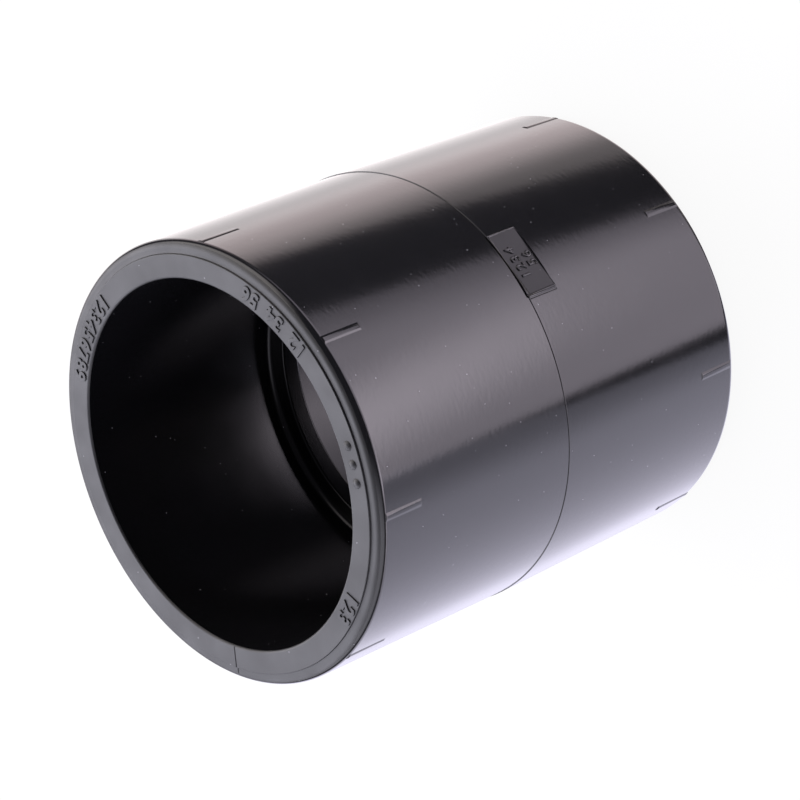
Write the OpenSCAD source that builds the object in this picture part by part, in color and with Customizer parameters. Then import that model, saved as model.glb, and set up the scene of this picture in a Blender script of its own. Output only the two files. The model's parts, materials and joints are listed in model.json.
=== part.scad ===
/* [Sockets] */
// Inside diameter of each socket, for a 40 mm pipe
socket_d = 40.3; // [36:0.1:42]
// Depth of each socket, from the end face to the stop ring
socket_depth = 26.4; // [18:0.1:40]
// Rounding of each socket's mouth
mouth_round = 0.3; // [0.1:0.1:0.8]
// Fillet at the root of each socket
root_round = 0.9; // [0.2:0.1:1.5]

/* [Stop ring] */
// Height over the socket's wall of the stop ring that the pipe ends butt against
stop_height = 2.4; // [1.5:0.05:6]
// Width of the stop ring between the two sockets
stop_width = 2.2; // [1.6:0.1:8]
// Rounding of the stop ring's two inner edges
stop_round = 0.3; // [0.1:0.1:0.6]

/* [Outside] */
// Thickness of the upper half's wall where the two moulded halves meet
wall = 4.25; // [3.6:0.05:8]
// Draft of each half towards its end, in degrees
draft = 0.5; // [0:0.1:1]
// Step in radius where the lower half stands out past the upper one
half_step = 0.08; // [0:0.01:0.2]
// Rounding of the outer edge at each end
end_round = 0.9; // [0.3:0.1:1.2]

/* [End faces] */
// Radial width of the lowered rim outside the raised land
rim_width = 1.4; // [1.25:0.05:2]
// Height of that land over the rim outside it
land_height = 0.2; // [0.1:0.05:0.4]

/* [Angle marks] */
// Number of marks round each end
mark_count = 8; // [4:1:12]
// Length of a mark along the coupling
mark_length = 5; // [2:0.1:12]
// Width of a mark at its foot
mark_width = 0.9; // [0.4:0.1:1.5]
// Height of a mark over the surface
mark_height = 0.2; // [0.1:0.05:0.4]
// Distance from the rim to a mark
mark_inset = 0.7; // [0.5:0.1:3]

/* [Pad] */
// Width of the sunk flat pad round the coupling
pad_width = 7.8; // [4:0.1:8]
// How far the pad's middle lies to the side of the mark that it is under
pad_shift = 0.15; // [-1:0.05:1]
// Length of the pad along the coupling, below the line between the halves
pad_length = 4.15; // [2:0.05:8]
// Depth of the pad's flat under the lower half's outside, at the line between the halves
pad_depth = 0.5; // [0.35:0.05:0.8]
// Slope of the flat along the coupling, deepest at the line between the halves, in degrees
pad_tilt = 2.5; // [0:0.5:5]

/* [Dots] */
// Number of raised dots on the upper land
dot_count = 3; // [1:1:6]
// Diameter of a dot at its foot
dot_d = 1.1; // [0.6:0.1:1.4]
// Height of a dot
dot_height = 0.25; // [0.1:0.05:0.4]
// Distance between the centres of two dots
dot_pitch = 1.95; // [1.6:0.05:3]
// Direction of the middle dot, counted from the side that the pad is on
dot_angle = -31.2; // [-180:0.1:180]

/* [Hidden] */
$fn = 180;
eps = 0.01;
pvc_grey = "#2e2e31";

// Radius of a half's outside at the height z over the line between the halves.
function outside_r(middle_r, z) = middle_r - z * tan(draft);

socket_r = socket_d / 2;
stop_r = socket_r - stop_height;
length = 2 * socket_depth + stop_width;
half_length = length / 2;
rim_z = half_length - land_height;
upper_r = socket_r + wall;
lower_r = upper_r + half_step;
land_r = outside_r(upper_r, rim_z) - rim_width;
land_mid_r = (socket_r + mouth_round + land_r) / 2;
// how far a raised mark sinks into the wall that carries it
seat = 1;

// Section of one half of the coupling, z up from the middle, with its rim at the top.
module half_section(middle_r) {
    rim_r = outside_r(middle_r, rim_z);
    edge_r = rim_r + end_round * (tan(draft) - 1 / cos(draft));
    edge_z = rim_z - end_round;
    difference() {
        polygon([[stop_r, 0], [middle_r, 0], [rim_r, rim_z], [land_r, rim_z], [land_r, half_length],
                 [socket_r, half_length], [socket_r, stop_width / 2], [stop_r, stop_width / 2]]);
        // outer edge, tangent to the drafted side and to the rim
        difference() {
            polygon([[edge_r, edge_z], [edge_r, rim_z + seat], [edge_r + end_round + seat, rim_z + seat],
                     [edge_r + (end_round + seat) * cos(draft), edge_z + (end_round + seat) * sin(draft)]]);
            translate([edge_r, edge_z]) circle(r = end_round);
        }
        inner_edge(socket_r, half_length, mouth_round);
        inner_edge(stop_r, stop_width / 2, stop_round);
    }
    // fillet at the root of the socket
    translate([socket_r, stop_width / 2]) difference() {
        translate([-root_round, -eps]) square([root_round + eps, root_round + eps]);
        translate([-root_round, root_round]) circle(r = root_round);
    }
}

// What rounding takes off a section's corner that faces the axis and the end.
module inner_edge(r, z, round_r) {
    translate([r, z]) difference() {
        translate([-seat, -round_r]) square([seat + round_r, round_r + seat]);
        translate([round_r, -round_r]) circle(r = round_r);
        translate([round_r, -round_r]) square([seat, round_r]);
    }
}

// The moulded tube: two drafted halves with a socket each and one stop ring between them.
module tube() {
    rotate_extrude() {
        half_section(upper_r);
        mirror([0, 1]) half_section(lower_r);
    }
}

// Raised marks along one end, spaced evenly from the side that the pad is on.
module angle_marks(middle_r) {
    z = rim_z - mark_inset - mark_length;
    for (i = [0 : mark_count - 1])
        rotate([0, 0, -90 + i * 360 / mark_count])
            translate([outside_r(middle_r, z), 0, z]) rotate([0, -draft, 0]) mark();
}

// One mark: a low ridge, narrower at its top, that runs up from its own foot.
module mark() {
    top_width = mark_width * 0.6;
    linear_extrude(height = mark_length)
        polygon([[-seat, -mark_width / 2], [0, -mark_width / 2], [mark_height, -top_width / 2],
                 [mark_height, top_width / 2], [0, mark_width / 2], [-seat, mark_width / 2]]);
}

// Slab of the flat pad against the line between the halves, between two heights over its flat.
module pad_slab(from, to) {
    translate([pad_shift, 0, 0]) rotate([0, 0, -90]) translate([lower_r - pad_depth, 0, 0])
        rotate([0, -pad_tilt, 0]) translate([from, -pad_width / 2, -pad_length])
            cube([to - from, pad_width, pad_length]);
}

// Row of raised dots on the upper land.
module dots() {
    ball_r = (pow(dot_d / 2, 2) + pow(dot_height, 2)) / (2 * dot_height);
    step = 2 * asin(dot_pitch / 2 / land_mid_r);
    for (i = [0 : dot_count - 1])
        rotate([0, 0, -90 + dot_angle + (i - (dot_count - 1) / 2) * step])
            translate([land_mid_r, 0, half_length + dot_height - ball_r]) sphere(r = ball_r);
}

// The whole coupling, one moulding, standing on its lower end.
module coupling_body() {
    color(pvc_grey) translate([0, 0, half_length]) {
        difference() {
            tube();
            pad_slab(0, pad_depth + seat);
        }
        // the pad's far corners stand out a little past the round of the tube
        pad_slab(-seat, 0);
        angle_marks(upper_r);
        mirror([0, 0, 1]) angle_marks(lower_r);
        dots();
    }
}

coupling_body();
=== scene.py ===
"""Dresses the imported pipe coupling.

It makes a fine mesh of the one moulding, the raised numbers on it, and the studio round it.
"""

import json
import math
from collections import namedtuple

import bmesh
import bpy
from mathutils import Matrix, Vector


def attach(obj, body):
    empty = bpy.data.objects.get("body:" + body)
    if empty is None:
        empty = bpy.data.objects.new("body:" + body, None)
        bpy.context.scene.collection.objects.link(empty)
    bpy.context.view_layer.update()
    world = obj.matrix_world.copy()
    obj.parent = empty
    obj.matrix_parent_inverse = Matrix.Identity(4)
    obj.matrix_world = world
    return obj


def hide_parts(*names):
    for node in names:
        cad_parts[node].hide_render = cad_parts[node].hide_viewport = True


bl_info = {
    "name": "Moulded Pipe Coupling",
    "version": (1, 0, 0),
    "blender": (4, 5, 0),
    "location": "3D View > Sidebar > Coupling",
    "description": "Models a solvent-weld pipe coupling in its real finish, with the studio for its picture",
    "category": "Mesh",
}

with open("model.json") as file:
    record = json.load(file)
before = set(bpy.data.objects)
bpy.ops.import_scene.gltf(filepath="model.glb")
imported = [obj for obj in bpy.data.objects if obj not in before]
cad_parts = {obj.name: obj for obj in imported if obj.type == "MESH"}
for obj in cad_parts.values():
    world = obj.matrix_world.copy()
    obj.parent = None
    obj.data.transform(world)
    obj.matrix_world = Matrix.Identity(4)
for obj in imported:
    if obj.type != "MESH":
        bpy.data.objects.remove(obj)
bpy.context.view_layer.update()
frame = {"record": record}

MM = 0.001
CAD_NODE = "coupling_body"
SOCKET = next(m for m in frame["record"]["mounts"] if m["name"] == "upper_socket")["dims"]
# The pad is on the -Y side, and every direction round the axis is counted from there.
PAD_SIDE = math.radians(-90)

# Finishes, as sRGB.
BLACK_PVC = "#121214"
DUST = "#a2a1a6"

# Directions round the axis, in degrees from the pad, of what the camera sees on the upper end face.
DOTS_AT = -31.2
WELD_LINE_AT = -133.7

# How far a shape reaches past what it cuts or joins, so that no two faces lie in one plane.
HAIR = 0.002 * MM
# How far a raised shape's foot reaches into the wall that carries it.
SEAT = 0.6 * MM
# Closer than this, two points are one.
SAME = MM / 1000

# A row of characters on the upper end face: its direction, and the degrees from one character to the next.
NumberRow = namedtuple("NumberRow", "text direction pitch reads_outward")
END_FACE_ROWS = (
    NumberRow("123456789", 105.1, 3.6, False),
    NumberRow("12 34 56", 13.5, 3.3, False),
    NumberRow("123", -75.4, 3.9, True),
)
# The rows of figures on the pad, and how far each lies under the line between the halves.
PAD_ROWS = (("1234", 1.75 * MM), ("56", 3.4 * MM))
# How the strokes of characters are drawn: the rounding of their edges, and how much bolder than the plain
# font they are, as a share of their height.
Strokes = namedtuple("Strokes", "rounding weight")
FLAT_STROKES = Strokes(0.04 * MM, 0.03)
ROUND_STROKES = Strokes(0.13 * MM, -0.045)


def linear(code):
    """An sRGB colour such as #121214 as linear red, green, blue and alpha."""
    parts = [int(code[i : i + 2], 16) / 255 for i in (1, 3, 5)]
    return (*(p / 12.92 if p <= 0.04045 else ((p + 0.055) / 1.055) ** 2.4 for p in parts), 1.0)


def length(name, description, millimetres):
    """A length property, given in millimetres and kept in metres."""
    return bpy.props.FloatProperty(
        name=name, description=description, default=millimetres * MM, min=0, unit="LENGTH", precision=5
    )


def angle(name, description, degrees):
    """An angle property, given in degrees and kept in radians."""
    return bpy.props.FloatProperty(
        name=name, description=description, default=math.radians(degrees), subtype="ANGLE"
    )


class TubeSizes(bpy.types.PropertyGroup):
    """Sizes of the moulded tube."""

    socket_radius: length("Socket radius", "Inside radius of both sockets", SOCKET["r_mm"])
    socket_depth: length("Socket depth", "From an end face to the stop ring", 26.4)
    mouth_round: length("Mouth rounding", "Rounding of each socket's mouth", 0.3)
    root_round: length("Root fillet", "Fillet at the root of each socket", 0.9)
    stop_height: length("Stop height", "Height of the stop ring over the sockets' wall", 2.4)
    stop_width: length("Stop width", "Width of the stop ring between the sockets", 2.2)
    stop_taper: length("Stop taper", "How much the stop ring's bore narrows towards the lower socket", 0.16)
    stop_round: length("Stop rounding", "Rounding of the stop ring's inner edges", 0.3)
    wall: length("Wall", "Wall of the upper half where the two halves meet", 4.25)
    draft: angle("Draft", "Draft of each half towards its end", 0.5)
    half_step: length("Half step", "How far the lower half stands out past the upper one", 0.08)
    end_round: length("End rounding", "Rounding of the outer edge at each end", 0.9)
    rim_width: length("Rim width", "Lowered rim outside the land of an end face", 1.4)
    land_height: length("Land height", "Height of the land over the rim", 0.2)
    land_round: length("Land rounding", "Rounding of the land's outer edge", 0.12)
    crisp_round: length("Crisp rounding", "Rounding left on an edge that looks sharp", 0.05)
    around: bpy.props.IntProperty(
        name="Steps round", description="Faces round the axis", default=360, min=64
    )


class DetailSizes(bpy.types.PropertyGroup):
    """Sizes of what is moulded on the tube."""

    mark_count: bpy.props.IntProperty(
        name="Marks", description="Angle marks round each end", default=8, min=1
    )
    mark_length: length("Mark length", "Length of a mark along the tube", 5)
    mark_width: length("Mark width", "Width of a mark at its foot", 0.9)
    mark_height: length("Mark height", "Height of a mark over the tube", 0.1)
    mark_inset: length("Mark inset", "From the rim to a mark", 0.7)
    pad_width: length("Pad width", "Width of the sunk flat pad round the tube", 7.8)
    pad_shift: length("Pad shift", "How far the pad's middle lies towards +X", 0.15)
    pad_length: length("Pad length", "Length of the pad, below the line between the halves", 4.15)
    pad_depth: length("Pad depth", "Depth of the pad's flat at the line between the halves", 0.5)
    pad_tilt: angle("Pad tilt", "Slope of the flat, deepest at the line between the halves", 3.5)
    pad_turn: angle("Pad turn", "How far the flat faces towards +X", 1.2)
    pad_fillet: length("Pad fillet", "Fillet of the pad's flat on its far and +X sides", 0.12)
    pad_corner: length("Pad corner", "Fillet of the pad's flat on its -X side", 0.35)
    pad_blend: length("Pad blend", "Fillet of the pad's flat on its near side", 0.6)
    pad_brow: length("Pad brow", "Rounding of the upper half's edge over the pad", 0.28)
    pad_bead: length("Pad bead", "Radius of the seam on the -X edge, twice that on the +X one", 0.12)
    pad_groove: length("Pad groove", "Radius of the shallow groove outside the seam on the -X edge", 0.3)
    dot_count: bpy.props.IntProperty(
        name="Dots", description="Raised dots on the upper land", default=3, min=1
    )
    dot_radius: length("Dot radius", "Radius of a dot at its foot", 0.55)
    dot_height: length("Dot height", "Height of a dot", 0.25)
    dot_pitch: length("Dot pitch", "Between the centres of two dots", 1.95)
    number_height: length("Number height", "Height of a number on the end face", 1.7)
    number_relief: length("Number relief", "How far a number stands up", 0.13)
    figure_height: length("Figure height", "Height of a figure on the pad", 1.2)
    figure_pitch: length("Figure pitch", "Between two figures on the pad", 1.05)
    figure_relief: length("Figure relief", "How far a figure on the pad stands up", 0.14)


class CouplingFinish(bpy.types.PropertyGroup):
    """Colours of the coupling."""

    plastic: bpy.props.FloatVectorProperty(
        name="Plastic", description="Colour of the moulded plastic",
        default=linear(BLACK_PVC), size=4, subtype="COLOR", min=0, max=1,
    )
    dust: bpy.props.FloatVectorProperty(
        name="Dust", description="Colour of the dust specks",
        default=linear(DUST), size=4, subtype="COLOR", min=0, max=1,
    )


Derived = namedtuple("Derived", "upper_radius lower_radius overall middle rim land_radius land_middle")


def sizes():
    """The tube's sizes, those of its details, and the lengths that follow from them."""
    tube, detail = bpy.context.scene.coupling_tube, bpy.context.scene.coupling_detail
    upper = tube.socket_radius + tube.wall
    overall = 2 * tube.socket_depth + tube.stop_width
    rim = overall - tube.land_height
    land_radius = upper - (rim - overall / 2) * math.tan(tube.draft) - tube.rim_width
    return tube, detail, Derived(
        upper_radius=upper,
        lower_radius=upper + tube.half_step,
        overall=overall,
        middle=overall / 2,
        rim=rim,
        land_radius=land_radius,
        land_middle=(tube.socket_radius + tube.mouth_round + land_radius) / 2,
    )


def outside(middle_radius, away, draft):
    """Radius of a half's outside, so far away from the line between the halves."""
    return middle_radius - away * math.tan(draft)


def nothing_selected():
    """Leaves edit mode and deselects everything."""
    if bpy.context.object and bpy.context.object.mode != "OBJECT":
        bpy.ops.object.mode_set(mode="OBJECT")
    bpy.ops.object.select_all(action="DESELECT")


def only(piece):
    """Makes one piece the selected and active one."""
    nothing_selected()
    piece.select_set(True)
    bpy.context.view_layer.objects.active = piece


def pick(kind, test):
    """In edit mode, selects the vertices, edges or faces whose middle passes the test."""
    bpy.ops.mesh.select_mode(type={"verts": "VERT", "edges": "EDGE", "faces": "FACE"}[kind])
    bpy.ops.mesh.select_all(action="DESELECT")
    mesh = bmesh.from_edit_mesh(bpy.context.object.data)
    for part in getattr(mesh, kind):
        if kind == "verts":
            place = part.co
        elif kind == "edges":
            place = (part.verts[0].co + part.verts[1].co) / 2
        else:
            place = part.calc_center_median()
        part.select_set(bool(test(place)))
    bmesh.update_edit_mesh(bpy.context.object.data)


def near(place, target):
    """True if two places are the same."""
    return (place - Vector(target)).length < SAME


def turned(azimuth, radius, height):
    """Moves what was made at the origin, facing +X, to its place on the tube."""
    return Matrix.Rotation(azimuth, 4, "Z") @ Matrix.Translation((radius, 0, height))


def copied(piece, name, placing):
    """A copy of a piece with its own mesh, put in its place."""
    twin = piece.copy()
    twin.data = piece.data.copy()
    twin.name = name
    twin.data.transform(placing)
    bpy.context.collection.objects.link(twin)
    return twin


def joined(pieces, name):
    """One piece out of several."""
    nothing_selected()
    for piece in pieces:
        piece.select_set(True)
    bpy.context.view_layer.objects.active = pieces[0]
    bpy.ops.object.join()
    whole = bpy.context.object
    whole.name = whole.data.name = name
    return whole


def tube_section(tube, found):
    """Corners of the tube's section as (radius, height, rounding), round from the lower mouth."""
    half = found.middle - tube.land_height
    lower_rim = outside(found.lower_radius, half, tube.draft)
    upper_rim = outside(found.upper_radius, half, tube.draft)
    stop_radius = tube.socket_radius - tube.stop_height
    flare_out = tube.stop_taper / 2
    lower_root = tube.socket_depth
    upper_root = tube.socket_depth + tube.stop_width
    crisp = tube.crisp_round
    # Where the halves meet, the lower one's edge is rounded and the corner over it is sharp.
    lower_edge, upper_edge = tube.half_step * 0.85, tube.half_step * 0.1
    return [
        (tube.socket_radius, 0, tube.mouth_round),
        (found.land_radius, 0, tube.land_round),
        (found.land_radius, tube.land_height, crisp),
        (lower_rim, tube.land_height, tube.end_round),
        (found.lower_radius, found.middle, lower_edge),
        (found.upper_radius, found.middle, upper_edge),
        (upper_rim, found.rim, tube.end_round),
        (found.land_radius, found.rim, crisp),
        (found.land_radius, found.overall, tube.land_round),
        (tube.socket_radius, found.overall, tube.mouth_round),
        (tube.socket_radius, upper_root, tube.root_round),
        (stop_radius + flare_out, upper_root, tube.stop_round),
        (stop_radius - flare_out, lower_root, tube.stop_round),
        (tube.socket_radius, lower_root, tube.root_round),
    ]


def drawn_section(corners):
    """A closed outline through corners given as (radius, height), left in edit mode as one face."""
    bpy.ops.mesh.primitive_plane_add(size=MM)
    piece = bpy.context.object
    bpy.ops.object.mode_set(mode="EDIT")
    bpy.ops.mesh.select_mode(type="VERT")
    bpy.ops.mesh.select_all(action="SELECT")
    bpy.ops.mesh.merge(type="CENTER")
    here = (0, 0)
    for step, (radius, height) in enumerate(corners):
        move = {"value": (radius - here[0], 0, height - here[1])}
        if step == 0:
            bpy.ops.transform.translate(**move)
        else:
            bpy.ops.mesh.extrude_vertices_move(TRANSFORM_OT_translate=move)
        here = (radius, height)
    bpy.ops.mesh.select_all(action="SELECT")
    bpy.ops.mesh.edge_face_add()
    return piece


def moulded_tube(tube, detail, found):
    """The two drafted halves with their sockets and stop ring, turned from one section."""
    corners = tube_section(tube, found)
    piece = drawn_section([corner[:2] for corner in corners])
    for radius, height, rounding in corners:
        pick("verts", lambda place: near(place, (radius, 0, height)))
        # Three faces do for an edge that looks sharp, and wider roundings get more.
        segments = 3 if rounding < 0.1 * MM else 4 + round(rounding / MM * 8)
        bpy.ops.mesh.bevel(offset=rounding, segments=segments, profile=0.5, affect="VERTICES")
    bpy.ops.mesh.select_mode(type="FACE")
    bpy.ops.mesh.select_all(action="SELECT")
    bpy.ops.mesh.delete(type="ONLY_FACE")
    bpy.ops.mesh.select_mode(type="VERT")
    bpy.ops.mesh.select_all(action="SELECT")
    bpy.ops.mesh.spin(
        steps=tube.around, angle=2 * math.pi, center=(0, 0, 0), axis=(0, 0, 1), use_auto_merge=True
    )
    bpy.ops.mesh.select_all(action="SELECT")
    bpy.ops.mesh.remove_doubles(threshold=SAME)
    # Rings of edges keep the faces short that the pad and the marks cut into, so that they shade evenly.
    marks_end = found.rim - detail.mark_inset - detail.mark_length - found.middle
    for away in (MM - marks_end, -detail.pad_length - MM, marks_end - MM):
        bpy.ops.mesh.select_all(action="SELECT")
        bpy.ops.mesh.bisect(plane_co=(0, 0, found.middle + away), plane_no=(0, 0, 1), threshold=SAME)
    bpy.ops.mesh.select_all(action="SELECT")
    bpy.ops.mesh.normals_make_consistent(inside=False)
    bpy.ops.object.mode_set(mode="OBJECT")
    return piece


def block(place, size):
    """A block of a size, with its middle at a place."""
    bpy.ops.mesh.primitive_cube_add(size=1)
    piece = bpy.context.object
    piece.data.transform(Matrix.Translation(place) @ Matrix.Diagonal((*size, 1)))
    return piece


def angle_mark(detail):
    """One angle mark, a low ridge along Z with its foot in the tube and its back rounded, facing +X."""
    # The back is this much narrower and shorter than the foot.
    back_share = (1, 0.35, 0.95)
    back_round = 0.07 * MM
    size = (detail.mark_height, detail.mark_width, detail.mark_length)
    piece = block((detail.mark_height / 2, 0, detail.mark_length / 2), size)
    bpy.ops.object.mode_set(mode="EDIT")
    pick("faces", lambda place: place.x < detail.mark_height * 0.1)
    bpy.ops.mesh.extrude_region_move(TRANSFORM_OT_translate={"value": (-SEAT, 0, 0)})
    pick("faces", lambda place: place.x > detail.mark_height * 0.9)
    bpy.ops.transform.resize(value=back_share)
    pick("edges", lambda place: place.x > detail.mark_height * 0.9)
    bpy.ops.mesh.bevel(offset=back_round, segments=4, profile=0.5, affect="EDGES")
    bpy.ops.object.mode_set(mode="OBJECT")
    return piece


def angle_marks(tube, detail, found):
    """The marks round both ends, copied from one."""
    mark = angle_mark(detail)
    away = found.rim - found.middle - detail.mark_inset - detail.mark_length
    marks = []
    for end, middle_radius in ((1, found.upper_radius), (-1, found.lower_radius)):
        flip = Matrix.Identity(4) if end > 0 else Matrix.Rotation(math.pi, 4, "X")
        lean = Matrix.Rotation(-tube.draft, 4, "Y")
        foot = Matrix.Translation((outside(middle_radius, away, tube.draft), 0, away)) @ lean
        for number in range(detail.mark_count):
            turn = PAD_SIDE + number * 2 * math.pi / detail.mark_count
            placing = turned(turn, 0, found.middle) @ flip @ foot
            marks.append(copied(mark, f"mark_{end}_{number}", placing))
    bpy.data.objects.remove(mark)
    return marks


def pad_place(detail, found):
    """Takes what is modelled on the plane X = 0, with its top edge at Z = 0, to a pad that faces +X."""
    flat = found.lower_radius - detail.pad_depth
    slope = Matrix.Rotation(detail.pad_turn, 4, "Z") @ Matrix.Rotation(-detail.pad_tilt, 4, "Y")
    return Matrix.Translation((flat, detail.pad_shift, found.middle)) @ slope


def pad_slab(detail, found):
    """What the flat lies on. The pad's far corners stand out a little past the round of the tube."""
    # It stands a little proud of the flat, and narrower than the cutter that brings it down to size.
    proud = 0.04 * MM
    margin = 0.02 * MM
    reach = 1 * MM
    size = (reach, detail.pad_width - margin, detail.pad_length - margin)
    piece = block((proud - reach / 2, 0, -detail.pad_length / 2), size)
    piece.data.transform(pad_place(detail, found))
    return piece


def pad_cutter(detail, found):
    """What the mould's number insert keeps clear: a block with a flat tip and filleted edges, facing +X."""
    wide, deep = detail.pad_width, detail.pad_length
    reach = 3 * MM
    tip = 0.01 * MM
    piece = block((reach / 2, 0, -deep / 2), (reach, wide, deep))
    bpy.ops.object.mode_set(mode="EDIT")
    pick("edges", lambda place: place.x < tip and place.y < -wide * 0.49)
    bpy.ops.mesh.bevel(offset=detail.pad_corner, segments=10, profile=0.5, affect="EDGES")
    pick("edges", lambda place: place.x < tip and place.z > -tip)
    bpy.ops.mesh.bevel(offset=detail.pad_blend, segments=12, profile=0.5, affect="EDGES")
    pick("edges", lambda place: place.x < tip and (place.z < -deep * 0.99 or place.y > wide * 0.49))
    bpy.ops.mesh.bevel(offset=detail.pad_fillet, segments=4, profile=0.5, affect="EDGES")
    bpy.ops.object.mode_set(mode="OBJECT")
    piece.data.transform(pad_place(detail, found))
    return piece


def brow_cutter(detail, found):
    """What rounding takes off the upper half's edge over the pad, for a pad that faces +X."""
    radius = detail.pad_brow
    reach = 1.3 * radius
    edge = found.upper_radius + HAIR
    inner, outer = found.upper_radius - reach, found.upper_radius + 0.5 * radius
    corners = (
        (inner, -2 * HAIR),
        (outer, -2 * HAIR),
        (outer, reach),
        (edge, reach),
        (edge, -HAIR),
        (inner, -HAIR),
    )
    half = detail.pad_width / 2
    edges = [math.asin((detail.pad_shift + side * half) / found.upper_radius) for side in (-1, 1)]
    piece = drawn_section(corners)
    pick("verts", lambda place: near(place, (edge, 0, -HAIR)))
    bpy.ops.mesh.bevel(offset=radius, segments=8, profile=0.5, affect="VERTICES")
    bpy.ops.mesh.select_all(action="SELECT")
    bpy.ops.mesh.spin(steps=18, angle=edges[0] - edges[1], center=(0, 0, 0), axis=(0, 0, 1))
    bpy.ops.mesh.select_all(action="SELECT")
    bpy.ops.mesh.normals_make_consistent(inside=False)
    bpy.ops.object.mode_set(mode="OBJECT")
    piece.data.transform(turned(edges[0], 0, found.middle))
    return piece


def pad_beads(tube, detail, found):
    """The rounded seams that the number insert leaves along the pad's two ends, for a pad that faces +X."""
    beads = []
    # A seam's middle lies this share of its radius under the surface, and its ends are rounded by this one.
    sunk, end_share = 0.3, 0.8
    for side, radius in ((-1, detail.pad_bead), (1, detail.pad_bead / 2)):
        edge = detail.pad_shift + side * detail.pad_width / 2
        bpy.ops.mesh.primitive_cylinder_add(vertices=32, radius=radius, depth=detail.pad_length)
        bead = bpy.context.object
        bpy.ops.object.mode_set(mode="EDIT")
        pick("faces", lambda place: abs(place.z) > detail.pad_length * 0.49)
        bpy.ops.mesh.bevel(offset=radius * end_share, segments=4, profile=0.5, affect="EDGES")
        bpy.ops.object.mode_set(mode="OBJECT")
        bead.data.transform(Matrix.Translation((0, 0, -detail.pad_length / 2)))
        surface = math.sqrt(found.lower_radius**2 - edge**2)
        lean = Matrix.Rotation(tube.draft, 4, "Y")
        bead.data.transform(Matrix.Translation((surface - radius * sunk, edge, found.middle)) @ lean)
        beads.append(bead)
    return beads


def pad_groove_cutter(tube, detail, found):
    """The shallow groove outside the seam on the pad's -X edge, for a pad that faces +X."""
    radius = detail.pad_groove
    # The groove's middle lies this far outside the pad, and this share of its radius over the surface.
    off_pad, raised = 0.22 * MM, 0.88
    under_halves = 0.05 * MM
    aside = detail.pad_shift - detail.pad_width / 2 - off_pad
    bpy.ops.mesh.primitive_cylinder_add(vertices=32, radius=radius, depth=detail.pad_length)
    groove = bpy.context.object
    groove.data.transform(Matrix.Translation((0, 0, -detail.pad_length / 2 - under_halves)))
    surface = math.sqrt(found.lower_radius**2 - aside**2)
    lean = Matrix.Rotation(tube.draft, 4, "Y")
    groove.data.transform(Matrix.Translation((surface + radius * raised, aside, found.middle)) @ lean)
    return groove


def weld_line_cutters(tube, found):
    """The fine grooves over the land and the rim, where the two streams of melt met behind the core."""
    cutters = []
    radius = 0.09 * MM
    past_edge = 0.05 * MM
    for start, end, height in (
        (tube.socket_radius - MM, found.land_radius + past_edge, found.overall),
        (found.land_radius + 2 * past_edge, found.upper_radius + MM, found.rim),
    ):
        bpy.ops.mesh.primitive_cylinder_add(vertices=8, radius=radius, depth=end - start)
        groove = bpy.context.object
        groove.data.transform(Matrix.Rotation(math.radians(90), 4, "Y"))
        groove.data.transform(turned(PAD_SIDE + math.radians(WELD_LINE_AT), (start + end) / 2, height))
        cutters.append(groove)
    return cutters


def raised_dots(detail, found):
    """The row of domed dots on the upper land."""
    ball = (detail.dot_radius**2 + detail.dot_height**2) / (2 * detail.dot_height)
    bpy.ops.mesh.primitive_uv_sphere_add(segments=48, ring_count=32, radius=ball)
    dome = bpy.context.object
    bpy.ops.object.mode_set(mode="EDIT")
    bpy.ops.mesh.select_all(action="SELECT")
    # The dome reaches half a dot's height into the land.
    foot = ball - detail.dot_height * 1.5
    bpy.ops.mesh.bisect(
        plane_co=(0, 0, foot), plane_no=(0, 0, 1), clear_inner=True, use_fill=True, threshold=SAME
    )
    bpy.ops.object.mode_set(mode="OBJECT")
    step = 2 * math.asin(detail.dot_pitch / 2 / found.land_middle)
    dots = []
    for number in range(detail.dot_count):
        turn = PAD_SIDE + math.radians(DOTS_AT) + (number - (detail.dot_count - 1) / 2) * step
        placing = turned(turn, found.land_middle, found.overall + detail.dot_height - ball)
        dots.append(copied(dome, f"dot_{number}", placing))
        dots[-1].data.materials.append(finishes()[ERODED])
    bpy.data.objects.remove(dome)
    return dots


def combine(piece, tool, operation):
    """Adds a tool shape to a piece or cuts it out, and removes the tool."""
    only(piece)
    bpy.ops.object.modifier_add(type="BOOLEAN")
    change = piece.modifiers[-1]
    change.operation = operation
    change.solver = "EXACT"
    change.object = tool
    bpy.ops.object.modifier_apply(modifier=change.name)
    bpy.data.objects.remove(tool)


def close_up(piece):
    """Merges points that lie in one place and takes out faces of no size, so that every seam is closed."""
    only(piece)
    bpy.ops.object.mode_set(mode="EDIT")
    bpy.ops.mesh.select_mode(type="VERT")
    bpy.ops.mesh.select_all(action="SELECT")
    bpy.ops.mesh.remove_doubles(threshold=SAME)
    bpy.ops.mesh.select_all(action="SELECT")
    bpy.ops.mesh.dissolve_degenerate(threshold=SAME)
    bpy.ops.mesh.select_all(action="SELECT")
    bpy.ops.mesh.normals_make_consistent(inside=False)
    bpy.ops.object.mode_set(mode="OBJECT")


def add(tree, kind, inputs=None, **settings):
    """Adds a node with its settings. An input is a value, or the output that feeds it."""
    node = tree.nodes.new(kind)
    for name, value in settings.items():
        setattr(node, name, value)
    for name, value in (inputs or {}).items():
        if isinstance(value, bpy.types.NodeSocket):
            tree.links.new(value, node.inputs[name])
        else:
            node.inputs[name].default_value = value
    return node


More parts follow.
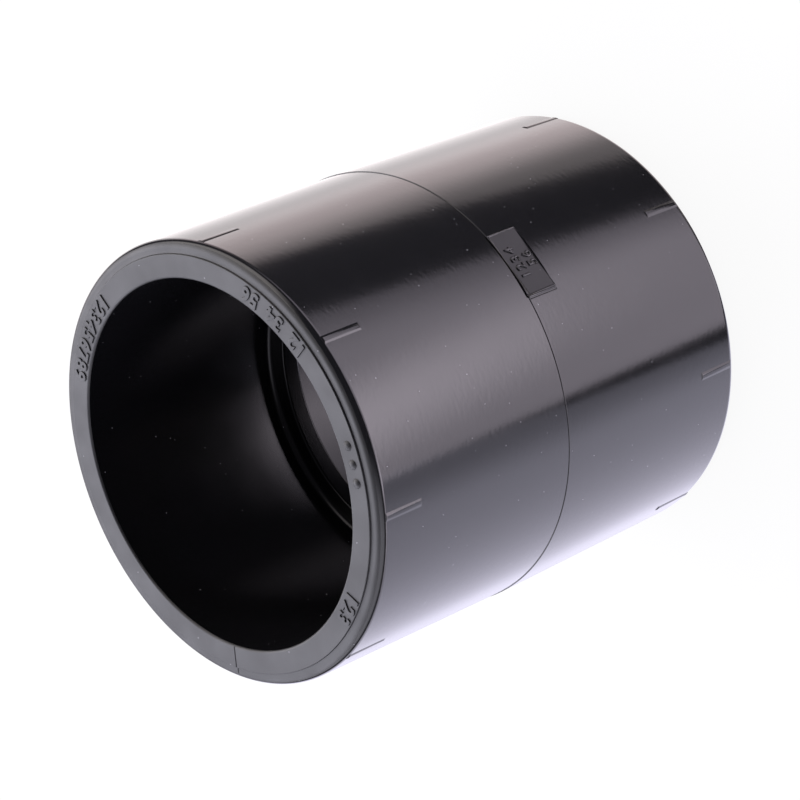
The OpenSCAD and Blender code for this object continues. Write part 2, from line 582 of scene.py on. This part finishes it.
def moulded_pvc(name, roughness, shine, grain, streaks):
    """Black PVC-U as it comes from the mould. Grain and streaks are heights of relief, in metres."""
    finish = bpy.context.scene.coupling_finish
    material = bpy.data.materials.new(name)
    material.use_nodes = True
    tree = material.node_tree
    tree.nodes.clear()
    place = add(tree, "ShaderNodeTexCoord").outputs["Object"]
    # Grain of the mould's surface, about 0.25 mm across.
    fine = add(tree, "ShaderNodeTexNoise", {"Vector": place, "Scale": 4000, "Detail": 3})
    # Marks of the mould's turning run round the tube: 0.4 mm wide and twice as long.
    stretch = add(tree, "ShaderNodeMapping", {"Vector": place, "Scale": (1200, 1200, 2400)})
    turning = add(
        tree, "ShaderNodeTexNoise", {"Vector": stretch.outputs["Vector"], "Scale": 1, "Detail": 4}
    )
    soft = add(tree, "ShaderNodeBump", {"Height": fine.outputs["Fac"], "Distance": grain})
    both = add(
        tree, "ShaderNodeBump",
        {"Height": turning.outputs["Fac"], "Distance": streaks, "Normal": soft.outputs["Normal"]},
    )
    # Specks of dust, up to 0.1 mm across, at the cells' middles that lie on the surface.
    cells = add(tree, "ShaderNodeTexVoronoi", {"Vector": place, "Scale": 700})
    dusty = add(tree, "ShaderNodeMath", {0: cells.outputs["Distance"], 1: 0.038}, operation="LESS_THAN")
    colour = add(
        tree, "ShaderNodeMix",
        {"Factor": dusty.outputs[0], "A": finish.plastic, "B": finish.dust}, data_type="RGBA",
    )
    # Gloss varies a little where the melt met the mould.
    patches = add(tree, "ShaderNodeTexNoise", {"Vector": place, "Scale": 250, "Detail": 2})
    gloss = add(
        tree, "ShaderNodeMapRange",
        {"Value": patches.outputs["Fac"], "From Min": 0.3, "From Max": 0.7,
         "To Min": roughness * 0.9, "To Max": roughness * 1.1},
    )
    shader = add(
        tree, "ShaderNodeBsdfPrincipled",
        {"Base Color": colour.outputs["Result"], "Roughness": gloss.outputs["Result"], "IOR": 1.54,
         "Specular IOR Level": shine, "Normal": both.outputs["Normal"]},
    )
    add(tree, "ShaderNodeOutputMaterial", {"Surface": shader.outputs["BSDF"]})
    return material


# How a finish looks: roughness, strength of its shine, and heights of its grain and streaks.
Look = namedtuple("Look", "roughness shine grain streaks")
LOOKS = {
    # PVC-U from the polished outer mould: glossy, with crisp panels of light that end in short streaks.
    "pvc_u_from_polished_mould": Look(0.12, 0.5, 0.001 * MM, 0.006 * MM),
    # PVC-U from the spark-eroded end plate: dull and evenly grey under the lamps.
    "pvc_u_from_eroded_plate": Look(0.5, 0.5, 0.006 * MM, 0),
    # PVC-U shrunk on the steel core: glossy, with its shine halved as painted shade so that the bore looks
    # near black.
    "pvc_u_from_steel_core": Look(0.19, 0.25, 0.002 * MM, 0.001 * MM),
    # PVC-U from the milled number insert: even, and duller than the tube round it.
    "pvc_u_from_milled_insert": Look(0.3, 0.4, 0.002 * MM, 0),
}
POLISHED, ERODED, CORED, MILLED = range(len(LOOKS))


def finishes():
    """The finishes of the moulding, made once and shared by its pieces."""
    return [bpy.data.materials.get(name) or moulded_pvc(name, *look) for name, look in LOOKS.items()]


def on_flat(place, detail):
    """True for a place on the pad's flat, given as pad_place takes it."""
    inside = abs(place.y) < detail.pad_width / 2 and -detail.pad_length < place.z < 0
    return inside and abs(place.x) < 0.01 * MM


def give_finish(piece, number, test):
    """In edit mode, gives the faces whose middle passes the test one of the finishes."""
    pick("faces", test)
    piece.active_material_index = number
    bpy.ops.object.material_slot_assign()


def finish_surface(piece, tube, detail, found):
    """Gives the outside, end faces, bore and pad their own finish, and shades the piece smooth."""
    for material in finishes():
        piece.data.materials.append(material)
    only(piece)
    bpy.ops.object.mode_set(mode="EDIT")
    # The bore's finish reaches a hair into the rounded mouth, and the end faces' round the outer edge.
    bore = tube.socket_radius + 0.02 * MM
    rounding = tube.end_round * 0.25
    ends = (tube.land_height + rounding, found.rim - rounding)
    give_finish(piece, ERODED, lambda place: not ends[0] < place.z < ends[1] and place.xy.length > bore)
    # The bore gets the finish whose weakened shine is painted shade.
    give_finish(piece, CORED, lambda place: place.xy.length <= bore)
    to_flat = (Matrix.Rotation(PAD_SIDE, 4, "Z") @ pad_place(detail, found)).inverted()
    give_finish(piece, MILLED, lambda place: on_flat(to_flat @ place, detail))
    bpy.ops.object.mode_set(mode="OBJECT")
    bpy.ops.object.shade_smooth_by_angle(angle=math.radians(30))
    bpy.ops.object.modifier_add(type="WEIGHTED_NORMAL")
    even = piece.modifiers[-1]
    even.keep_sharp = True
    even.weight = 90
    bpy.ops.object.modifier_apply(modifier=even.name)


def raised_characters(signs, height, relief, strokes, material):
    """Raised characters from (word, place). Each is modelled at the origin, flat and facing +Z."""
    # The font's figures are this share of its size high.
    figure_share = 0.73
    letters = []
    for word, placing in signs:
        bpy.ops.object.text_add()
        font = bpy.context.object.data
        font.body = word
        font.align_x = "CENTER"
        font.align_y = "CENTER"
        font.size = height / figure_share
        font.offset = height * strokes.weight
        font.extrude = relief - strokes.rounding
        font.bevel_depth = strokes.rounding
        font.bevel_resolution = 3
        font.resolution_u = 5
        bpy.ops.object.convert(target="MESH")
        letter = bpy.context.object
        close_up(letter)
        letter.data.transform(placing)
        letter.data.materials.append(material)
        letters.append(letter)
    return letters


def end_face_numbers(detail, found):
    """The plain numbers round the upper land."""
    signs = []
    for row in END_FACE_ROWS:
        facing = Matrix.Rotation(math.radians(-90 if row.reads_outward else 90), 4, "Z")
        for number, word in enumerate(row.text):
            if word == " ":
                continue
            step = (number - (len(row.text) - 1) / 2) * math.radians(row.pitch)
            turn = PAD_SIDE + math.radians(row.direction) + (-step if row.reads_outward else step)
            signs.append((word, turned(turn, found.land_middle, found.overall) @ facing))
    return raised_characters(
        signs, detail.number_height, detail.number_relief, FLAT_STROKES, finishes()[ERODED]
    )


def pad_figures(detail, found):
    """The plain figures on the pad, which stand upright. Their right is +X and their top is up."""
    onto_pad = Matrix(((0, 0, 1, 0), (1, 0, 0, 0), (0, 1, 0, 0), (0, 0, 0, 1)))
    flat = Matrix.Rotation(PAD_SIDE, 4, "Z") @ pad_place(detail, found)
    off_middle = 0.05 * MM
    signs = []
    for text, below in PAD_ROWS:
        for number, word in enumerate(text):
            aside = (number - (len(text) - 1) / 2) * detail.figure_pitch + off_middle
            signs.append((word, flat @ Matrix.Translation((0, aside, -below)) @ onto_pad))
    return raised_characters(
        signs, detail.figure_height, detail.figure_relief, ROUND_STROKES, finishes()[POLISHED]
    )


class COUPLING_OT_mould_body(bpy.types.Operator):
    """Model the moulded body: tube, sunk number pad, angle marks and weld line in one closed mesh"""

    bl_idname = "coupling.mould_body"
    bl_label = "Mould the Body"
    bl_options = {"REGISTER", "UNDO"}

    def execute(self, context):
        tube, detail, found = sizes()
        nothing_selected()
        body = moulded_tube(tube, detail, found)
        to_pad_side = Matrix.Rotation(PAD_SIDE, 4, "Z")
        slab = pad_slab(detail, found)
        slab.data.transform(to_pad_side)
        combine(body, slab, "UNION")
        for cutter in (
            pad_cutter(detail, found), brow_cutter(detail, found), pad_groove_cutter(tube, detail, found)
        ):
            cutter.data.transform(to_pad_side)
            combine(body, cutter, "DIFFERENCE")
        for cutter in weld_line_cutters(tube, found):
            combine(body, cutter, "DIFFERENCE")
        beads = joined(pad_beads(tube, detail, found), "beads")
        beads.data.transform(to_pad_side)
        combine(body, beads, "UNION")
        combine(body, joined(angle_marks(tube, detail, found), "relief"), "UNION")
        body.name = body.data.name = "moulded_coupling"
        if not body.data.polygons:
            raise RuntimeError("the body came out empty")
        close_up(body)
        finish_surface(body, tube, detail, found)
        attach(body, "root")
        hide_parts(CAD_NODE)
        return {"FINISHED"}


class COUPLING_OT_raise_numbers(bpy.types.Operator):
    """Set the dots and plain raised numbers on the upper end face and on the pad"""

    bl_idname = "coupling.raise_numbers"
    bl_label = "Raise the Numbers"
    bl_options = {"REGISTER", "UNDO"}

    def execute(self, context):
        _, detail, found = sizes()
        nothing_selected()
        numbers = end_face_numbers(detail, found)
        figures = pad_figures(detail, found)
        piece = joined(numbers + raised_dots(detail, found) + figures, "raised_numbers")
        if not piece.data.polygons:
            raise RuntimeError("the numbers came out empty")
        only(piece)
        bpy.ops.object.shade_smooth_by_angle(angle=math.radians(40))
        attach(piece, "root")
        return {"FINISHED"}


Side = namedtuple("Side", "angle softness lean")
LightPanel = namedtuple("LightPanel", "right left bottom top strength colour")
# Soft panels of the light tent, as the coupling sees them. Their sides are azimuths counted from +X, and
# heights over the horizon, in degrees. The lean is how far a side moves round for each degree up, counted
# from the height that the tube's side mirrors to the camera.
LEANS_FROM = -43
UNDER = (Side(-75, 10, 0), Side(-15, 10, 0))
PANELS = (
    LightPanel(Side(-24, 3, 2.1), Side(75, 6, 0), *UNDER, 0.95, "#fff3f3"),
    LightPanel(Side(-9, 24, 0), Side(21, 24, 0), *UNDER, 1.32, "#ffebec"),
    LightPanel(Side(15, 16, 0), Side(75, 6, 0), *UNDER, 0.68, "#ffffff"),
    LightPanel(Side(-144.2, 4, -0.3), Side(-62.8, 4, 1.5), *UNDER, 1.15, "#f9efff"),
    LightPanel(Side(-144.2, 4, -0.3), Side(-74, 24, 1), *UNDER, 1.35, "#fbf1ff"),
    LightPanel(
        Side(-118, 28, -2.7), Side(-86, 28, -2.7), Side(-43, 10, 0), Side(-15, 10, 0), 2.8, "#fff4ff"
    ),
    LightPanel(Side(70, 10, 0), Side(212.3, 4, 0.8), *UNDER, 1.1, "#edeaff"),
    LightPanel(Side(93, 32, 0), Side(199, 24, 0), *UNDER, 1.2, "#edeaff"),
    LightPanel(Side(100, 20, 0), Side(210, 50, 0), Side(5, 20, 0), Side(55, 20, 0), 1.9, "#f4f2ff"),
    LightPanel(Side(-45, 30, 0), Side(60, 30, 0), Side(8, 12, 0), Side(55, 20, 0), 2.4, "#fff8f6"),
    LightPanel(Side(27, 20, 0), Side(118, 20, 0), Side(12, 20, 0), Side(72, 20, 0), 3.7, "#f1f1ff"),
)
# Light of the tent between the panels, as linear red, green and blue.
DIM_TENT = (0.1, 0.096, 0.115)


def math_node(tree, operation, *values):
    """The output of a Math node fed with the values."""
    return add(tree, "ShaderNodeMath", dict(enumerate(values)), operation=operation).outputs[0]


def panel_share(tree, azimuth, elevation, panel):
    """The share of a panel's light that comes from a direction: one on it, none off it, soft between."""
    middle = math.radians((panel.right.angle + panel.left.angle) / 2)
    away = math_node(tree, "SUBTRACT", azimuth, middle)
    around = math_node(tree, "WRAP", away, math.pi, -math.pi)
    up = math_node(tree, "SUBTRACT", elevation, math.radians(LEANS_FROM))
    share = None
    for side, along, start, opening in (
        (panel.right, around, middle, 1),
        (panel.left, around, middle, -1),
        (panel.bottom, elevation, 0, 1),
        (panel.top, elevation, 0, -1),
    ):
        reach = math_node(tree, "MULTIPLY_ADD", up, -side.lean, along)
        half = math.radians(side.softness / 2) * opening
        edge = math.radians(side.angle) - start
        mask = add(
            tree, "ShaderNodeMapRange",
            {"Value": reach, "From Min": edge - half, "From Max": edge + half},
            interpolation_type="SMOOTHSTEP",
        ).outputs["Result"]
        share = mask if share is None else math_node(tree, "MULTIPLY", share, mask)
    return share


def studio_world():
    """A light tent: white to the camera, and soft panels with dim gaps to the coupling."""
    world = bpy.data.worlds.new("light_tent")
    bpy.context.scene.world = world
    world.use_nodes = True
    tree = world.node_tree
    tree.nodes.clear()
    # In a world, the Generated coordinates are the direction that a ray goes.
    ray = add(tree, "ShaderNodeTexCoord").outputs["Generated"]
    direction = add(tree, "ShaderNodeSeparateXYZ", {"Vector": ray})
    azimuth = math_node(tree, "ARCTAN2", direction.outputs["Y"], direction.outputs["X"])
    elevation = math_node(tree, "ARCSINE", direction.outputs["Z"])
    total = add(tree, "ShaderNodeVectorMath", {0: DIM_TENT, 1: (0, 0, 0)}, operation="ADD")
    for panel in PANELS:
        light = Vector(linear(panel.colour)[:3]) * panel.strength
        share = panel_share(tree, azimuth, elevation, panel)
        tint = add(tree, "ShaderNodeVectorMath", {0: light, "Scale": share}, operation="SCALE")
        total = add(
            tree, "ShaderNodeVectorMath", {0: total.outputs[0], 1: tint.outputs[0]}, operation="ADD"
        )
    tent = add(tree, "ShaderNodeBackground", {"Color": total.outputs[0], "Strength": 1.0})
    white = add(tree, "ShaderNodeBackground", {"Color": (1, 1, 1, 1), "Strength": 1.0})
    rays = add(tree, "ShaderNodeLightPath")
    seen = math_node(tree, "MAXIMUM", rays.outputs["Is Camera Ray"], rays.outputs["Is Transmission Ray"])
    mixed = add(tree, "ShaderNodeMixShader", {0: seen, 1: tent.outputs[0], 2: white.outputs[0]})
    add(tree, "ShaderNodeOutputWorld", {"Surface": mixed.outputs[0]})


def studio_floor():
    """A pale floor under the coupling. The camera sees it nearly white, with a faint shadow."""
    bpy.ops.mesh.primitive_plane_add(size=4)
    floor = bpy.context.object
    floor.name = floor.data.name = "studio_floor"
    material = bpy.data.materials.new("matt_white_acrylic_sheet")
    material.use_nodes = True
    tree = material.node_tree
    tree.nodes.clear()
    sheet = add(tree, "ShaderNodeBsdfDiffuse", {"Color": linear("#f2f2f2")})
    glow = add(tree, "ShaderNodeEmission", {"Color": (1, 1, 1, 1), "Strength": 1.0})
    rays = add(tree, "ShaderNodeLightPath")
    # How much of what the camera sees is plain white. The rest shows the shadow.
    whiteness = 0.92
    share = math_node(tree, "MULTIPLY", rays.outputs["Is Camera Ray"], whiteness)
    mixed = add(tree, "ShaderNodeMixShader", {0: share, 1: sheet.outputs[0], 2: glow.outputs[0]})
    # Seen from under the floor, the sheet is clear.
    side = add(tree, "ShaderNodeNewGeometry")
    clear = add(tree, "ShaderNodeBsdfTransparent")
    both = add(
        tree, "ShaderNodeMixShader",
        {0: side.outputs["Backfacing"], 1: mixed.outputs[0], 2: clear.outputs[0]},
    )
    add(tree, "ShaderNodeOutputMaterial", {"Surface": both.outputs[0]})
    floor.data.materials.append(material)
    # The tent shines through the sheet from below, so a glossy surface sees the panels there.
    floor.visible_glossy = False


def studio_camera():
    """The camera of the picture, over the tube and beside the pad, rolled so that it lies down."""
    # Its place, turn and lens were fitted to the circles of the mouth, the outside and the far edge.
    data = bpy.data.cameras.new("picture_camera")
    data.sensor_width = 36
    data.lens = 138.35
    camera = bpy.data.objects.new("picture_camera", data)
    bpy.context.collection.objects.link(camera)
    right = Vector((-0.54701, -0.45314, -0.70388))
    up = Vector((0.80443, -0.51723, -0.29217))
    turn = Matrix((right, up, right.cross(up))).transposed()
    place = Vector((-78.374, -242.502, 244.844)) * MM
    camera.matrix_world = Matrix.Translation(place) @ turn.to_4x4()
    data.clip_start = 0.01
    data.clip_end = 10
    bpy.context.scene.camera = camera


class COUPLING_OT_set_stage(bpy.types.Operator):
    """Set the pale floor, the light tent and the camera"""

    bl_idname = "coupling.set_stage"
    bl_label = "Set the Stage"
    bl_options = {"REGISTER", "UNDO"}

    def execute(self, context):
        nothing_selected()
        studio_floor()
        studio_world()
        studio_camera()
        context.scene.view_settings.view_transform = "Standard"
        return {"FINISHED"}


class VIEW3D_PT_coupling(bpy.types.Panel):
    """The coupling's sizes, colours and making, in the sidebar"""

    bl_label = "Moulded Coupling"
    bl_category = "Coupling"
    bl_space_type = "VIEW_3D"
    bl_region_type = "UI"

    def draw(self, context):
        for group in ("coupling_tube", "coupling_detail", "coupling_finish"):
            settings = getattr(context.scene, group)
            column = self.layout.column(align=True)
            for name in settings.bl_rna.properties.keys():
                if name not in {"rna_type", "name"}:
                    column.prop(settings, name)
        for operator in OPERATORS:
            self.layout.operator(operator.bl_idname)


GROUPS = {"coupling_tube": TubeSizes, "coupling_detail": DetailSizes, "coupling_finish": CouplingFinish}
OPERATORS = (COUPLING_OT_mould_body, COUPLING_OT_raise_numbers, COUPLING_OT_set_stage)
CLASSES = (*GROUPS.values(), *OPERATORS, VIEW3D_PT_coupling)


def register():
    for cls in CLASSES:
        bpy.utils.register_class(cls)
    for name, group in GROUPS.items():
        setattr(bpy.types.Scene, name, bpy.props.PointerProperty(type=group))


def unregister():
    for name in GROUPS:
        delattr(bpy.types.Scene, name)
    for cls in reversed(CLASSES):
        bpy.utils.unregister_class(cls)


def main():
    register()
    bpy.ops.coupling.mould_body()
    bpy.ops.coupling.raise_numbers()
    bpy.ops.coupling.set_stage()


if __name__ == "__main__":
    main()
